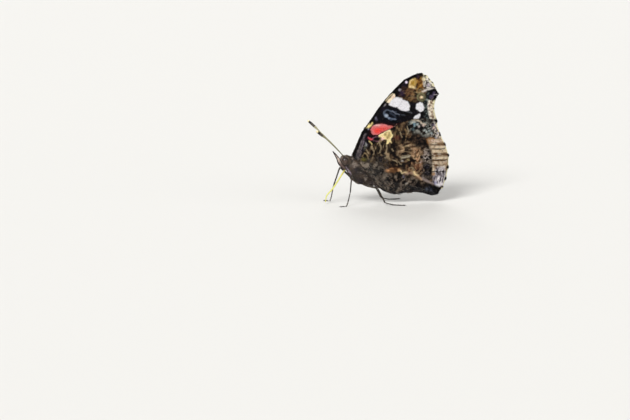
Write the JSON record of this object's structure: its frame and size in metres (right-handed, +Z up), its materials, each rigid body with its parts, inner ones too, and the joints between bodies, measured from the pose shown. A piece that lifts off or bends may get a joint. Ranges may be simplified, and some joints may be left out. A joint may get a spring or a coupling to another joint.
{
  "type": "red admiral butterfly",
  "caption": "Life-size butterfly standing on its feet with the wings closed above its back, the tongue let down and clubbed antennae spread forward.",
  "frame": {"origin": "centre of the bounding box on the floor, between the feet", "axes": "the head points to -X, the left side faces -Y, +Z up"},
  "size_m": [0.0404, 0.0188, 0.0379],
  "materials": {
    "body_fur": "matt brown-grey hair",
    "abdomen_scales": "matt dark scales, paler at the rings",
    "eye": "dark brown, faceted, softly glossy",
    "palp_scales": "matt cream and dark scales",
    "tongue": "waxy yellow-green",
    "antenna": "ringed olive and pale, club black with a cream tip",
    "forewing": "matt scales, black with white, red and blue marks",
    "hindwing": "matt scales, marbled brown, black and cream",
    "leg": "dark brown-olive, finely scaled and spined"
  },
  "bodies": {
    "root": {"head": "body_fur", "thorax": "body_fur", "abdomen": "abdomen_scales", "eye_left": "eye", "eye_right": "eye", "tongue": "tongue", "palp_left": "palp_scales", "palp_right": "palp_scales", "antenna_left": "antenna", "antenna_right": "antenna", "wing_fore_left": "forewing", "wing_fore_right": "forewing", "wing_hind_left": "hindwing", "wing_hind_right": "hindwing", "leg_fore_left": "leg", "leg_fore_right": "leg", "leg_mid_left_femur": "leg", "leg_mid_left_tibia": "leg", "leg_mid_left_tarsus": "leg", "leg_mid_right_femur": "leg", "leg_mid_right_tibia": "leg", "leg_mid_right_tarsus": "leg", "leg_hind_left_femur": "leg", "leg_hind_left_tibia": "leg", "leg_hind_left_tarsus": "leg", "leg_hind_right_femur": "leg", "leg_hind_right_tibia": "leg", "leg_hind_right_tarsus": "leg"}
  },
  "joints": []
}
